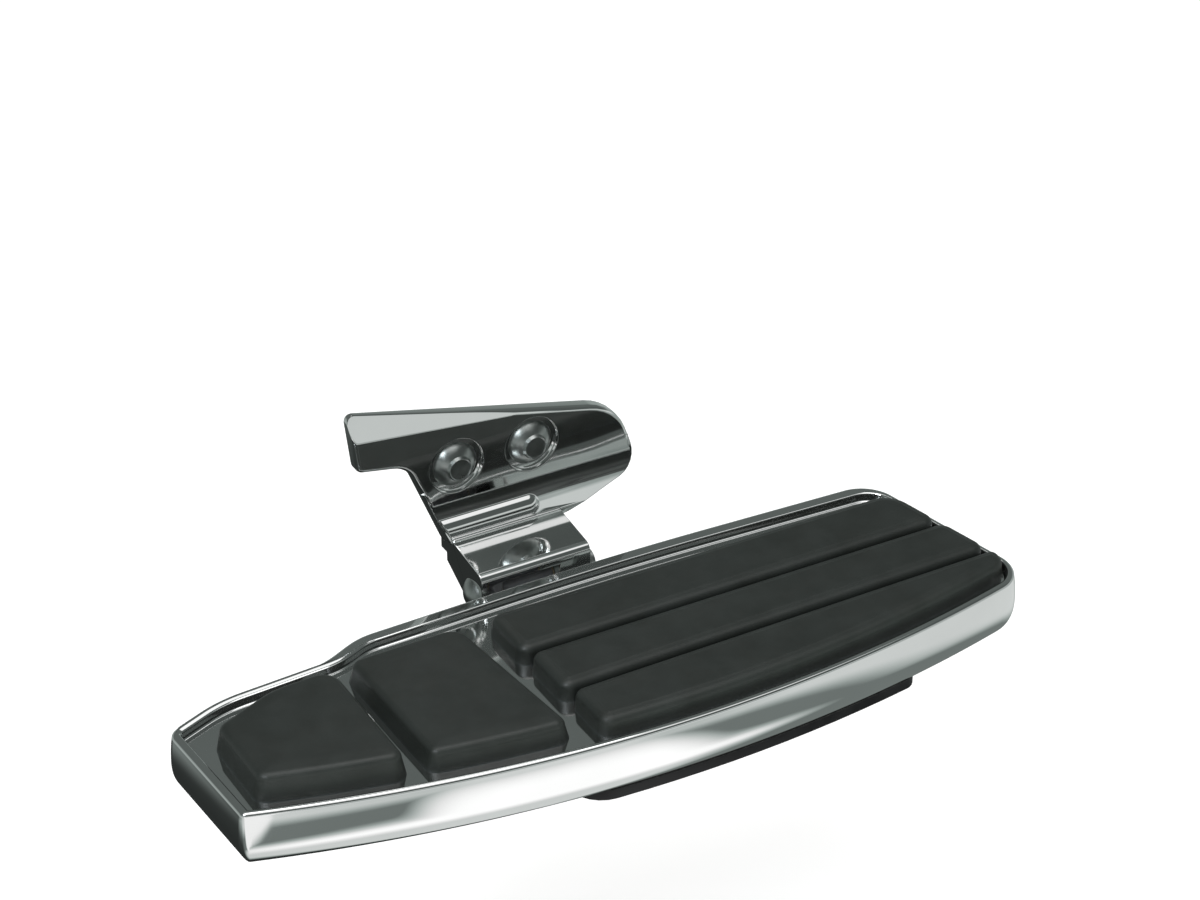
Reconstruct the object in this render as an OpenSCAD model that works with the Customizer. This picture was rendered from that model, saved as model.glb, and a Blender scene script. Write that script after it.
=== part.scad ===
// Folding floorboard for a motorcycle: a chromed pan with rubber pads on a clevis bracket.
// Everything is drawn in the board's own frame: +X towards the toe, +Y inboard, +Z up,
// with z = 0 at the top of the pan's rim. placed() then puts the origin between the two
// mounting bolts, on the back face of the bracket.

/* [Board outline] */
// Heel end of the board, measured back from its middle
heel_x = 175.5; // [165:0.5:190]
// How far the outer corner of the heel stands ahead of the inner one
heel_slant = 3.5; // [1:0.5:10]
// Outer corner of the toe end, measured ahead of the board's middle
toe_x = 180; // [170:0.5:190]
// How far the inner corner of the toe stands behind the outer one
toe_slant = 18.6; // [10:0.1:24]
// Radius of the bowed outer edge
bow_r = 621; // [540:1:720]
// Outermost reach of the bow
bow_reach = 66; // [62:0.5:72]
// Place along the board where the bow reaches furthest
bow_x = 26; // [0:1:50]
// Inner edge of the board beside the hinge
inner_y = 52.5; // [48:0.5:58]
// Inner corner at the toe
toe_in_y = 45.8; // [43:0.1:49]
// Inner edge of the narrow heel part, at its widest
waist_y = 41; // [36:0.5:44]
// Inner corner at the heel
heel_in_y = 28; // [22:0.5:34]
// Where the narrow heel part begins to widen
step_x = -104; // [-112:1:-98]
// Length of the stretch over which it widens
step_len = 20; // [16:1:26]
// Corner radius at the toe, outer side
toe_out_r = 17; // [10:0.5:22]
// Corner radius at the toe, inner side
toe_in_r = 18; // [10:0.5:24]
// Corner radius at the heel, outer side
heel_out_r = 4; // [2:0.5:10]
// Corner radius at the heel, inner side
heel_in_r = 7; // [3:0.5:12]

/* [Pan section] */
// Depth of the pan from rim to lip
pan_h = 25.5; // [23:0.5:32]
// Rounding of the rim's outer edge
rim_r = 1.6; // [1:0.1:1.8]
// How far the outer wall leans in from its fullest part up to the rim
belly = 1; // [0.5:0.1:1.2]
// Rounding of the rim's inner edge
rim_edge = 0.6; // [0.3:0.1:0.8]
// Rim width along the bowed outer edge
rim_out = 4; // [3.8:0.1:7]
// Rim width at the toe
rim_toe = 3.8; // [3.7:0.1:7]
// Rim width along the inner edge
rim_in = 7; // [5:0.1:9]
// Rim width along the inner edge of the heel part
rim_heel_in = 4.5; // [4:0.1:7]
// Rim width at the heel end
rim_heel = 4.5; // [4:0.1:7]
// Depth of the recess that holds the pads
recess_h = 4; // [3:0.1:5]
// Thickness of the floor
floor_t = 3.5; // [3:0.1:4.5]
// Thickness of the skirt wall
skirt_t = 4.5; // [3.5:0.1:6]
// How far the lower edge of the skirt curls in
curl_in = 7; // [5:0.5:9]
// Height of that curl
curl_h = 11.5; // [9:0.5:13]
// Width of the flat lip below the skirt
lip_w = 1.6; // [1:0.1:3]
// Thickness of the ribs under the floor
rib_t = 3; // [2:0.1:4]
// Depth of those ribs below the floor
rib_h = 3.5; // [2:0.1:3.8]

/* [Pads] */
// Height of the heel pad above the recess floor
heel_pad_h = 11.5; // [9:0.5:14]
// Height of the instep pad above the recess floor
instep_pad_h = 9.5; // [7:0.5:12]
// Height of the three rib pads above the recess floor
rib_pad_h = 8.7; // [7:0.1:11]
// Edge rounding of the heel and instep pads
pad_edge = 3.2; // [2:0.1:4]
// Draft of their sides, from foot to rounding
pad_draft = 1.6; // [0.8:0.1:2.5]
// Edge rounding of the rib pads
rib_pad_edge = 3.6; // [2:0.1:3.8]
// Draft of the rib pads' sides
rib_pad_draft = 0.5; // [0.3:0.1:1]
// Crown of every pad's top
crown = 0.35; // [0.2:0.05:0.6]
// Width over which the tops of the heel and instep pads rise to that crown
crown_w = 5.5; // [3:0.1:7]
// Width over which the tops of the rib pads rise to it
rib_crown_w = 1.4; // [0.8:0.1:1.6]
// Distance of the heel pad's foot from the outer edge of the board
heel_pad_out = 11; // [9:0.5:14]
// Heel end of the heel pad's foot
heel_pad_start = -161.5; // [-164:0.5:-156]
// Toe end of the heel pad's foot
heel_pad_end = -104; // [-112:0.5:-102]
// Gap between heel pad and instep pad at their feet
pad_gap = 6.5; // [4:0.5:9]
// Distance of the instep pad's foot from the outer edge of the board
instep_pad_out = 12; // [9:0.5:15]
// Toe end of the instep pad's foot, outer corner
instep_pad_end = -39; // [-46:0.5:-38]
// How far its inner toe corner stands back
instep_slant = 8; // [2:0.5:12]
// Inner edge of the instep pad and the inner rib
pads_in_y = 32.5; // [28:0.5:36]
// Heel end of the outer rib's foot
ribs_start = -30; // [-34:0.5:-26]
// How much further back each next rib starts
rib_stagger = 2.4; // [0:0.1:4]
// Distance of the outer rib's foot from the outer edge of the board
ribs_out = 8.5; // [7:0.5:12]
// How much the inner groove lies outboard of a third of the ribs' width
groove_in_shift = 0.9; // [-2:0.1:2]
// How much the outer groove lies outboard of two thirds of that width
groove_out_shift = 0.7; // [-2:0.1:2]
// Width of the grooves at the pads' feet
groove_w = 0.8; // [0.4:0.1:2]
// Play between the ribs' toe ends and the rim
pad_play = 0.5; // [0.3:0.1:2]
// Radius of the studs' necks under the pads
stud_r = 3.2; // [2.5:0.1:3.6]
// Radius of the studs' bulbs
bulb_r = 4.2; // [3.8:0.1:4.6]
// Radial play of a stud's neck in its hole
stud_play = 0.3; // [0.1:0.1:0.5]
// Distance of the heel pad's studs from its ends
heel_stud_in = 15; // [12:0.5:20]
// Distance of the rib pads' end studs from the ribs' ends
rib_stud_in = 31; // [28:1:34]

/* [Wear plate] */
// Heel end of the wear plate
wear_start = -40; // [-60:1:-30]
// Toe end of the wear plate
wear_end = 118; // [110:1:130]
// Distance of its outer edge from the outer edge of the board
wear_inset = 4.5; // [3:0.5:7]
// Width of the wear plate
wear_w = 22; // [19:0.5:24]
// Thickness of the wear plate
wear_t = 5; // [4.5:0.5:8]
// Radius of its turned-in heel corner
wear_heel_r = 15; // [6:0.5:16]
// Distance of its screws from the outer edge of the board
wear_screw_in = 15.5; // [15:0.5:17]
// Distance of its first and last screw from its ends
wear_screw_end = 13; // [11:0.5:18]
// Shank radius of its screws
wear_screw_r = 2.5; // [2:0.1:2.7]
// Length of its screws
wear_screw_l = 16; // [12:0.5:17]

/* [Hinge] */
// Distance of the pin's axis from the inner edge of the board
pin_out = 15; // [14.6:0.1:18]
// Depth of the pin's axis below the rim
pin_depth = 11; // [10.8:0.1:13]
// Radius of the pin
pin_r = 5; // [4:0.1:5.2]
// Radial clearance of the pin in ears and bushes
pin_play = 0.05; // [0.02:0.01:0.09]
// Radius of the pin's domed head
pin_head_r = 7.3; // [6.5:0.1:8]
// Height of the pin's head
pin_head_h = 3.6; // [3:0.1:5]
// Heel side of the clevis
clevis_start = -22.3; // [-24:0.1:-21]
// Toe side of the clevis
clevis_end = 29.3; // [28:0.1:32]
// Heel side of the slot between the ears
slot_start = -12.5; // [-14:0.1:-12]
// Toe side of the slot
slot_end = 14.5; // [14:0.1:16]
// Outer radius of the ears around the pin
ear_r = 8.5; // [8.2:0.1:9]
// Outer radius of the arm's eye
eye_r = 7.5; // [7.3:0.1:7.6]
// Wall of the bushes
bush_t = 1.43; // [1:0.01:1.5]
// Radius of the bushes' flanges
flange_r = 7.3; // [7:0.1:7.6]
// Thickness of those flanges
flange_t = 0.7; // [0.5:0.1:1]
// Side play of the eye in the clevis, at each end
side_play = 0.3; // [0.2:0.05:0.5]
// Thickness of the spring washer
spring_washer_t = 1.2; // [0.8:0.1:1.6]
// Thickness of the plain washer
washer_t = 1; // [0.8:0.1:1.6]
// Thickness of the retaining clip
clip_t = 0.9; // [0.6:0.1:1.2]
// Outer radius of the retaining clip
clip_r = 8; // [7:0.1:9]
// Depth of the clip's groove in the pin
groove_h = 1; // [0.6:0.1:1.2]

/* [Arm] */
// Thickness of the arm's plate
arm_t = 6; // [5:0.5:6.5]
// Distance of the arm's plate below the floor of the pan
arm_drop = 10; // [9.5:0.5:11]
// Width of the arm's web and tail
web_w = 22; // [18:0.5:22]
// Distance between the arm's screws along the board
arm_screw_x = 56; // [50:1:62]
// Distance between the arm's screws across the board
arm_screw_y = 40; // [36:1:42]
// Distance of the inner screws from the inner edge of the board
arm_screw_in = 16.5; // [16:0.5:18]
// Edge of the arm's plate round its screws
arm_edge = 9.5; // [8:0.5:9.5]
// Shank radius of the arm's screws
arm_screw_r = 3; // [2.5:0.1:3.2]
// Length of the arm's screws under the head
arm_screw_l = 16; // [13:0.5:16.5]
// Thickness of the washers under their heads
arm_washer_t = 1.6; // [1:0.1:2]
// Reach of the stop tail behind the pin
tail_l = 15; // [12:0.5:16]
// Gap between the tail and the stop face at rest
stop_gap = 0.3; // [0.2:0.05:0.5]
// Side play of the web in the pan's notch
notch_play = 1.5; // [1:0.1:3]

/* [Bracket] */
// Distance from the pin's axis to the front of the bracket plate
plate_in = 22.5; // [21:0.5:28]
// Thickness of the bracket plate
plate_t = 7; // [6:0.5:9]
// Edge rounding of the plate's front
plate_edge = 2.2; // [1:0.1:2.4]
// Height of the bolts above the rim of the board
bolt_z = 38.2; // [36:0.1:40]
// Distance between the bolts
bolt_pitch = 35.4; // [34:0.1:37]
// Place of the bolts' middle along the board
bolt_x = 1; // [0:0.1:2]
// Shank radius of the bolts
bolt_r = 6; // [5:0.1:6.2]
// Radius of the bolts' plain necks inside the plate
bolt_neck_r = 5.6; // [4.8:0.1:5.7]
// Play of the bolts' threads in the plate's holes
bolt_play = 0.25; // [0.1:0.05:0.5]
// Head radius of the bolts
bolt_head_r = 10.5; // [9.5:0.1:10.8]
// Head height of the bolts
bolt_head_h = 6.6; // [5.5:0.1:7.5]
// Length of the bolts behind the plate
bolt_out = 20; // [15:1:40]
// Radius of the counterbores
counterbore_r = 12.6; // [11:0.1:12.8]
// Depth of the counterbores
counterbore_h = 2.2; // [1:0.1:3]
// Reach of the plate towards the toe, from the bolts' middle
plate_toe = 70; // [62:1:74]
// Height of its toe corner above the rim
plate_toe_z = 14; // [10:0.5:18]
// Height of its upper toe corner above the bolts
plate_top_up = 7; // [6:0.2:10]
// Reach of the plate's wing towards the heel, from the bolts' middle
wing_l = 65.5; // [60:0.5:70]
// Height of the wing's tip above the bolts
wing_up = 36; // [34:0.2:40]
// Depth of the wing's end
wing_h = 26.6; // [24:0.2:29]
// Reach of the wing's root towards the heel, from the bolts' middle
wing_root = 39.8; // [37:0.1:43]
// Height of the wing's root above the bolts
wing_root_up = 5.3; // [4:0.1:8]
// Lean of the bright facet at the top of the plate
facet_lean = 20; // [12:1:22]
// Height of the facet's lower edge above the bolts, at the wing's end
facet_up = 24; // [22:0.2:26]
// Slope of that edge along the board
facet_slope = 5.74; // [4:0.1:8]
// Height at which the plate starts to curve out to the shelf
cove_top = 28; // [26:0.5:30]
// Radius of that curve
cove_r = 53; // [48:1:58]
// Height of the shelf's root above the rim
shelf_root = 5.5; // [5:0.1:7]
// Height of the shelf's front edge above the rim
shelf_front = 2.5; // [2:0.1:3.5]
// Rounding of the shelf's front edge
shelf_r = 4; // [3:0.1:5]
// Depth of the stop face under the shelf, below the rim
shelf_under = 3; // [2.6:0.1:3]
// Height of the raised bead above the surface
bead_h = 2; // [1:0.1:3]
// Width of the raised bead
bead_w = 9.2; // [7:0.1:10]
// Toe end of the raised bead
bead_end = 20; // [10:0.5:24]
// Radius of the thin ridge along the root of the shelf
ridge_r = 0.9; // [0.6:0.1:1.2]
// Thickness of the gussets behind the ears
gusset_t = 6; // [4:0.5:8]
// Depth of the plate's lower end below the rim
plate_low = 16; // [12:0.5:20]

/* [Hidden] */
$fn = 48;

chrome = [0.80, 0.82, 0.84];
rubber = [0.20, 0.22, 0.21];
black = [0.10, 0.10, 0.11];
steel = [0.58, 0.60, 0.62];
bronze = [0.62, 0.50, 0.30];

// Overshoot of cutting solids past the faces that they cut
past = 1;
// Smallest corner radius that an inset outline keeps
least_r = 0.6;
// Radial play of the screws in their threaded holes
screw_play = 0.1;
bow_steps = 24;
corner_steps = 6;

pin_y = inner_y + pin_out;
pin_z = -pin_depth;
plate_front = pin_y + plate_in;
plate_back = plate_front + plate_t;
floor_z = -recess_h;
under_z = -recess_h - floor_t;
arm_top = under_z - arm_drop;
arm_low = arm_top - arm_t;
clevis_mid = (slot_start + slot_end) / 2;
eye_start = slot_start + side_play + flange_t;
eye_end = slot_end - spring_washer_t - side_play - flange_t;
clip_x = clevis_end + washer_t + 0.2;
arm_x0 = clevis_mid - arm_screw_x / 2 - arm_edge;
arm_x1 = clevis_mid + arm_screw_x / 2 + arm_edge;
arm_y1 = inner_y - arm_screw_in + arm_edge;
arm_y0 = arm_y1 - arm_screw_y - 2 * arm_edge;

// Outline tools. A corner is [x, y, radius, steps], and corners run anticlockwise.

function point(c) = [c[0], c[1]];
function toward(a, b) = (b - a) / norm(b - a);
function left(v) = [-v[1], v[0]];
function turned(v, a) = [v[0] * cos(a) - v[1] * sin(a), v[0] * sin(a) + v[1] * cos(a)];
function crossing(p, u, q, v) = p + u * cross(q - p, v) / cross(u, v);
function prev(c, i) = (i + len(c) - 1) % len(c);
function next(c, i) = (i + 1) % len(c);
function heading(c, i) = toward(point(c[i]), point(c[next(c, i)]));
function turn(c, i) =
    let (u = heading(c, prev(c, i)), v = heading(c, i)) atan2(cross(u, v), u * v);
function reach(c, i) = c[i][2] * tan(abs(turn(c, i)) / 2);
function edge(c, i) = norm(point(c[next(c, i)]) - point(c[i]));

// Share of its radius that a corner can have beside its neighbours
function share(c, i) = min(1,
    0.999 * edge(c, prev(c, i)) / (reach(c, prev(c, i)) + reach(c, i)),
    0.999 * edge(c, i) / (reach(c, i) + reach(c, next(c, i))));

// Points of an outline with every corner rounded
function rounded(c) = [for (i = [0 : len(c) - 1])
    let (u = heading(c, prev(c, i)), a = turn(c, i), fit = share(c, i),
        side = left(u) * sign(a) * c[i][2] * fit,
        centre = point(c[i]) - u * reach(c, i) * fit + side)
    for (k = [0 : c[i][3]]) centre - turned(side, a * k / c[i][3])];

// The corners of an outline moved in by one distance, or by one for each edge
function moved_in(c, d) = let (e = is_list(d) ? d : [for (i = c) d])
    [for (i = [0 : len(c) - 1])
        let (b = prev(c, i), u = heading(c, b), v = heading(c, i),
            at = crossing(point(c[i]) + left(u) * e[b], u, point(c[i]) + left(v) * e[i], v),
            r = c[i][2] - sign(cross(u, v)) * (e[b] + e[i]) / 2)
        [at[0], at[1], max(least_r, r), c[i][3]]];

function ring(c, d, z) = [for (p = rounded(moved_in(c, d))) [p[0], p[1], z]];

// One solid through a list of rings, closed into a loop or capped at both ends
module skin(rings, closed = false) {
    n = len(rings[0]);
    m = len(rings);
    sides = [for (j = [0 : closed ? m - 1 : m - 2]) for (i = [0 : n - 1])
        let (a = j * n + i, b = j * n + (i + 1) % n,
            c = ((j + 1) % m) * n + i, d = ((j + 1) % m) * n + (i + 1) % n)
        each [[a, c, d], [a, d, b]]];
    caps = closed ? [] : [[for (i = [0 : n - 1]) i],
        [for (i = [0 : n - 1]) (m - 1) * n + (n - i) % n]];
    polyhedron([for (r = rings) each r], concat(sides, caps), convexity = 8);
}

// A profile drawn as [y, z], extruded along the board
module along_x(start, end) {
    translate([start, 0, 0]) rotate([90, 0, 90]) linear_extrude(end - start) children();
}

// A round bar or hole along the pin's axis
module on_pin(start, end, r) {
    translate([start, pin_y, pin_z]) rotate([0, 90, 0]) cylinder(h = end - start, r = r);
}

// The bowed outer edge, and lines that run beside it

bow_y0 = bow_r - bow_reach;
function bow_run(x, d) = sqrt(pow(bow_r - d, 2) - pow(x - bow_x, 2));
function on_bow(x, d) = [x, bow_y0 - bow_run(x, d)];
function bow_way(x, d) = [bow_run(x, d), x - bow_x] / (bow_r - d);

// Three corners that draw a side parallel to the bow, d inside it, from start to end
function bow_side(start, end, start_r, end_r, d) =
    let (a = on_bow(start + start_r, d), u = bow_way(start + start_r, d),
        b = on_bow(end - end_r, d), v = bow_way(end - end_r, d),
        from = a - u * start_r, to = b + v * end_r, mid = crossing(a, u, b, v))
    [[from[0], from[1], start_r, corner_steps],
        [mid[0], mid[1], bow_r - d, ceil(bow_steps * (end - start) / (heel_x + toe_x))],
        [to[0], to[1], end_r, corner_steps]];

function backwards(c) = [for (i = [len(c) - 1 : -1 : 0]) c[i]];

// Pan

// The inner edge bends faintly beside the hinge, more at the step, and again in the heel part
step_end = step_x + step_len;
side_bend_x = 30;
side_bend_r = 1500;
step_out_r = 32;
step_in_r = 34;
heel_bend_x = step_x - 46;
heel_bend_r = 60;
pan_corners = concat(bow_side(heel_slant - heel_x, toe_x, heel_out_r, toe_out_r, 0), [
    [toe_x - toe_slant, toe_in_y, toe_in_r, corner_steps],
    [side_bend_x, inner_y, side_bend_r, 3],
    [step_end, inner_y - 2, step_out_r, 4],
    [step_x, waist_y, step_in_r, 4],
    [heel_bend_x, waist_y - 2.5, heel_bend_r, 4],
    [-heel_x, heel_in_y, heel_in_r, corner_steps]]);
rim = [rim_out, rim_out, rim_toe, rim_in, rim_in, rim_in, rim_heel_in, rim_heel_in, rim_heel];
function rim_less(w) = [for (r = rim) r - w];

// Rings from the lip up the outside, over the rim, down into the recess and down the inside
curl_top = curl_h - pan_h;
pan_rings = concat(
    [for (a = [90 : -22.5 : 0])
        ring(pan_corners, curl_in * (1 - cos(a)), curl_top - curl_h * sin(a))],
    [for (t = [0.25 : 0.25 : 0.75])
        ring(pan_corners, belly * t * t, (1 - t) * curl_top - t * rim_r)],
    [for (a = [0 : 22.5 : 90])
        ring(pan_corners, belly + rim_r * (1 - cos(a)), rim_r * (sin(a) - 1))],
    [for (a = [0 : 45 : 90])
        ring(pan_corners, rim_less(rim_edge * (1 - sin(a))), rim_edge * (cos(a) - 1))],
    [ring(pan_corners, rim_less(0), under_z - past)],
    [for (a = [0 : 30 : 90])
        ring(pan_corners, skirt_t + (curl_in + lip_w - skirt_t) * (1 - cos(a)),
            curl_top - curl_h * sin(a))]);

// The three rib pads share the width between the inner line of the pads and the outer edge
toe_slope = toe_slant / (toe_in_y - on_bow(toe_x, 0)[1]);
function pad_toe(y) = toe_x - toe_slope * (y - on_bow(toe_x, 0)[1])
    - (rim_toe + pad_play) * sqrt(1 + toe_slope * toe_slope);
instep_start = heel_pad_end + pad_gap;
rib_share = (pads_in_y + bow_reach - ribs_out) / 3;
groove_in_y = pads_in_y - rib_share - groove_in_shift;
groove_out_y = pads_in_y - 2 * rib_share - groove_out_shift;

// Rows of studs along the board, and the studs in them
row_in = (pads_in_y + groove_in_y) / 2;
row_mid = (groove_in_y + groove_out_y) / 2;
row_out = (groove_out_y - bow_reach + ribs_out) / 2 + 1;
heel_stud_xs = [heel_pad_start + heel_stud_in, heel_pad_end - heel_stud_in];
instep_stud_x = (instep_start + instep_pad_end) / 2;
rib_stud_x0 = ribs_start + rib_stud_in;
rib_stud_x2 = pad_toe(0) - rib_stud_in + 5;
rib_stud_xs = [rib_stud_x0, (rib_stud_x0 + rib_stud_x2) / 2, rib_stud_x2];
heel_studs = [for (x = heel_stud_xs) [x, row_mid]];
instep_studs = [for (y = [row_mid, row_in]) [instep_stud_x, y]];
inner_studs = [for (x = rib_stud_xs) [x, row_in]];
middle_studs = [for (x = rib_stud_xs) [x, row_mid]];
outer_studs = [for (x = rib_stud_xs) [x, row_out]];

// Ribs run midway between the studs and clear of the arm
rib_gap = 12;
rib_xs = [(heel_stud_xs[0] + heel_stud_xs[1]) / 2, heel_pad_end + pad_gap / 2,
    arm_x0 - rib_gap, arm_x1 + rib_gap, (rib_stud_xs[1] + rib_stud_xs[2]) / 2];
rib_ys = [(row_out + row_mid) / 2, (row_mid + row_in) / 2, (3 * row_in - row_mid) / 2];
arm_boss_r = 8;
wear_boss_r = 6;

// Places of the arm's screws and of the wear plate's screws
arm_spots = [for (x = [-0.5, 0.5]) for (y = [0, 1])
    [clevis_mid + x * arm_screw_x, inner_y - arm_screw_in - y * arm_screw_y]];
wear_pitch = (wear_end - wear_start - 2 * wear_screw_end) / 3;
wear_spots = [for (i = [0 : 3])
    on_bow(wear_start + wear_screw_end + i * wear_pitch, wear_screw_in)];

module floor_slab() {
    translate([0, 0, under_z]) linear_extrude(floor_t)
        polygon(rounded(moved_in(pan_corners, rim_less(past))));
}

module pan_ribs() {
    span = 2 * (heel_x + toe_x);
    intersection() {
        translate([0, 0, under_z - rib_h]) linear_extrude(rib_h + past)
            polygon(rounded(moved_in(pan_corners, skirt_t / 2)));
        union() {
            for (x = rib_xs) translate([x - rib_t / 2, -span / 2, -pan_h]) cube([rib_t, span, pan_h]);
            for (y = rib_ys) translate([-span / 2, y - rib_t / 2, -pan_h]) cube([span, rib_t, pan_h]);
        }
    }
}

module pan() {
    color(chrome) difference() {
        union() {
            skin(pan_rings, true);
            floor_slab();
            pan_ribs();
            for (s = arm_spots) translate([s[0], s[1], arm_top])
                cylinder(h = floor_z - past - arm_top, r = arm_boss_r);
            for (s = wear_spots) translate([s[0], s[1], -pan_h])
                cylinder(h = pan_h + floor_z - past, r = wear_boss_r);
        }
        for (s = concat(heel_studs, instep_studs, inner_studs, middle_studs, outer_studs))
            translate([s[0], s[1], under_z - past])
                cylinder(h = floor_t + 2 * past, r = stud_r + stud_play);
        for (s = arm_spots) translate([s[0], s[1], arm_top - past])
            cylinder(h = arm_screw_l - arm_t - arm_washer_t + 2 * past, r = arm_screw_r + screw_play);
        for (s = wear_spots) translate([s[0], s[1], -pan_h - past])
            cylinder(h = wear_screw_l - wear_t + 2 * past, r = wear_screw_r + screw_play);
        translate([clevis_mid - web_w / 2 - notch_play, inner_y - curl_in - lip_w - past, -pan_h - past])
            cube([web_w + 2 * notch_play, curl_in + lip_w + 2 * past + 2, pan_h + arm_top + 2 * past]);
    }
}

// Pads

groove = groove_w / 2;
// How much narrower the inner rib and the middle rib get towards the toe
rib_taper_in = 3.5;
rib_taper_mid = 2.5;
heel_pad_in = 13;
heel_pad_corners = concat(bow_side(heel_pad_start, heel_pad_end, 7, 6, heel_pad_out), [
    [heel_pad_end, waist_y - heel_pad_in, 10, corner_steps],
    [(heel_pad_start + heel_pad_end) / 2, waist_y - heel_pad_in - 1, 40, 3],
    [heel_pad_start, heel_in_y - heel_pad_in, 7, corner_steps]]);
instep_pad_corners = concat(bow_side(instep_start, instep_pad_end, 6, 6, instep_pad_out), [
    [instep_pad_end - instep_slant, pads_in_y - 1, 10, corner_steps],
    [instep_start - 1, pads_in_y - 1, 6, corner_steps]]);
groove_toe_y = groove_in_y - rib_taper_mid;
inner_rib_corners = [
    [ribs_start - 2 * rib_stagger, groove_in_y + groove, 6, corner_steps],
    [pad_toe(groove_toe_y + groove), groove_toe_y + groove, 6, corner_steps],
    [pad_toe(pads_in_y - rib_taper_in), pads_in_y - rib_taper_in, 13, corner_steps],
    [ribs_start - 2 * rib_stagger, pads_in_y, 6, corner_steps]];
middle_rib_corners = [
    [ribs_start - rib_stagger, groove_out_y + groove, 6, corner_steps],
    [pad_toe(groove_out_y + groove), groove_out_y + groove, 6, corner_steps],
    [pad_toe(groove_toe_y - groove), groove_toe_y - groove, 7, corner_steps],
    [ribs_start - rib_stagger, groove_in_y - groove, 5, corner_steps]];
outer_rib_corners = concat(
    bow_side(ribs_start, pad_toe(on_bow(toe_x, ribs_out)[1]), 6, 13, ribs_out), [
    [pad_toe(groove_out_y - groove), groove_out_y - groove, 5, corner_steps],
    [ribs_start, groove_out_y - groove, 5, corner_steps]]);

// A moulded pad: sides with draft, a rounded top edge and a slightly crowned top
module pad(corners, h, draft, round, rise_w, studs) {
    color(rubber) union() {
        skin(concat(
            [ring(corners, 0, floor_z), ring(corners, draft, floor_z + h - round)],
            [for (a = [18 : 24 : 90]) ring(corners, draft + round * (1 - cos(a)),
                floor_z + h - round * (1 - sin(a)))],
            [ring(corners, draft + round + 0.4 * rise_w, floor_z + h + 0.6 * crown),
                ring(corners, draft + round + rise_w, floor_z + h + crown)]));
        for (s = studs) translate([s[0], s[1], 0]) pad_stud();
    }
}

// Moulded stud whose bulb snaps through a hole in the floor
module pad_stud() {
    bulb_top = under_z - 0.3;
    translate([0, 0, bulb_top - past]) cylinder(h = floor_z + 2 * past - bulb_top, r = stud_r);
    translate([0, 0, bulb_top - 1.6]) cylinder(h = 1.6, r = bulb_r);
    translate([0, 0, bulb_top - 5]) cylinder(h = 3.4, r1 = stud_r - 0.8, r2 = bulb_r);
}

module big_pad(corners, h, studs) pad(corners, h, pad_draft, pad_edge, crown_w, studs);
module rib_pad(corners, studs)
    pad(corners, rib_pad_h, rib_pad_draft, rib_pad_edge, rib_crown_w, studs);
module heel_pad() big_pad(heel_pad_corners, heel_pad_h, heel_studs);
module instep_pad() big_pad(instep_pad_corners, instep_pad_h, instep_studs);
module inner_rib_pad() rib_pad(inner_rib_corners, inner_studs);
module middle_rib_pad() rib_pad(middle_rib_corners, middle_studs);
module outer_rib_pad() rib_pad(outer_rib_corners, outer_studs);

// Wear plate under the outer edge

wear_corners = concat(bow_side(wear_start, wear_end, wear_heel_r, 6, wear_inset),
    backwards(bow_side(wear_start, wear_end, 3, 3, wear_inset + wear_w)));
wear_low = -pan_h - wear_t;
sink_r = 2 * wear_screw_r;

module wear_plate() {
    color(black) difference() {
        translate([0, 0, wear_low]) linear_extrude(wear_t) polygon(rounded(wear_corners));
        for (s = wear_spots) translate([s[0], s[1], wear_low]) {
            translate([0, 0, -past]) cylinder(h = wear_t + 2 * past, r = wear_screw_r + 0.2);
            translate([0, 0, -past]) cylinder(h = past + sink_r - wear_screw_r + 0.2,
                r1 = sink_r + past + 0.2, r2 = wear_screw_r);
        }
    }
}

module wear_plate_screws() {
    color(steel) for (s = wear_spots) translate([s[0], s[1], wear_low + 0.2]) difference() {
        union() {
            cylinder(h = wear_screw_l, r = wear_screw_r);
            cylinder(h = sink_r - wear_screw_r, r1 = sink_r, r2 = wear_screw_r);
        }
        translate([0, 0, -past]) cylinder(h = past + 1.8, r = wear_screw_r * 0.7, $fn = 6);
    }
}

// Hinge arm under the pan

arm_rib_h = 3.4;
arm_rib_t = 5;
web_low = arm_low - arm_rib_h;
web_x0 = clevis_mid - web_w / 2;
web_x1 = clevis_mid + web_w / 2;
tail_top = -shelf_under - stop_gap;

module arm_side() {
    polygon([
        [arm_y1 - 8, arm_top], [inner_y - 2, arm_top - 0.7],
        [pin_y - 0.94 * eye_r, pin_z - 0.34 * eye_r], [pin_y - 2, pin_z],
        [pin_y - 1, tail_top], [pin_y + tail_l - 1, tail_top], [pin_y + tail_l, tail_top - 1],
        [pin_y + tail_l, tail_top - 4.5], [pin_y + 0.8 * eye_r, pin_z - 0.6 * eye_r],
        [pin_y + 0.2 * eye_r, pin_z - 0.98 * eye_r], [inner_y + 1.5, web_low],
        [arm_y1 - 8, web_low]]);
}

module hinge_arm() {
    color(steel) difference() {
        union() {
            translate([0, 0, arm_low]) linear_extrude(arm_t)
                polygon(rounded([
                    [arm_x0, arm_y0, arm_edge, corner_steps], [arm_x1, arm_y0, arm_edge, corner_steps],
                    [arm_x1, arm_y1, arm_edge, corner_steps], [arm_x0, arm_y1, arm_edge, corner_steps]]));
            for (x = [web_x0, web_x1 - arm_rib_t]) translate([x, arm_y0 + 6, web_low])
                cube([arm_rib_t, arm_y1 - arm_y0 - 8, arm_rib_h + past]);
            along_x(web_x0, web_x1) arm_side();
            on_pin(eye_start, eye_end, eye_r);
        }
        on_pin(slot_start, slot_end, pin_r + pin_play + bush_t + 0.02);
        for (s = arm_spots) translate([s[0], s[1], arm_low - past])
            cylinder(h = arm_t + 2 * past, r = arm_screw_r + 0.3);
    }
}

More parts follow.
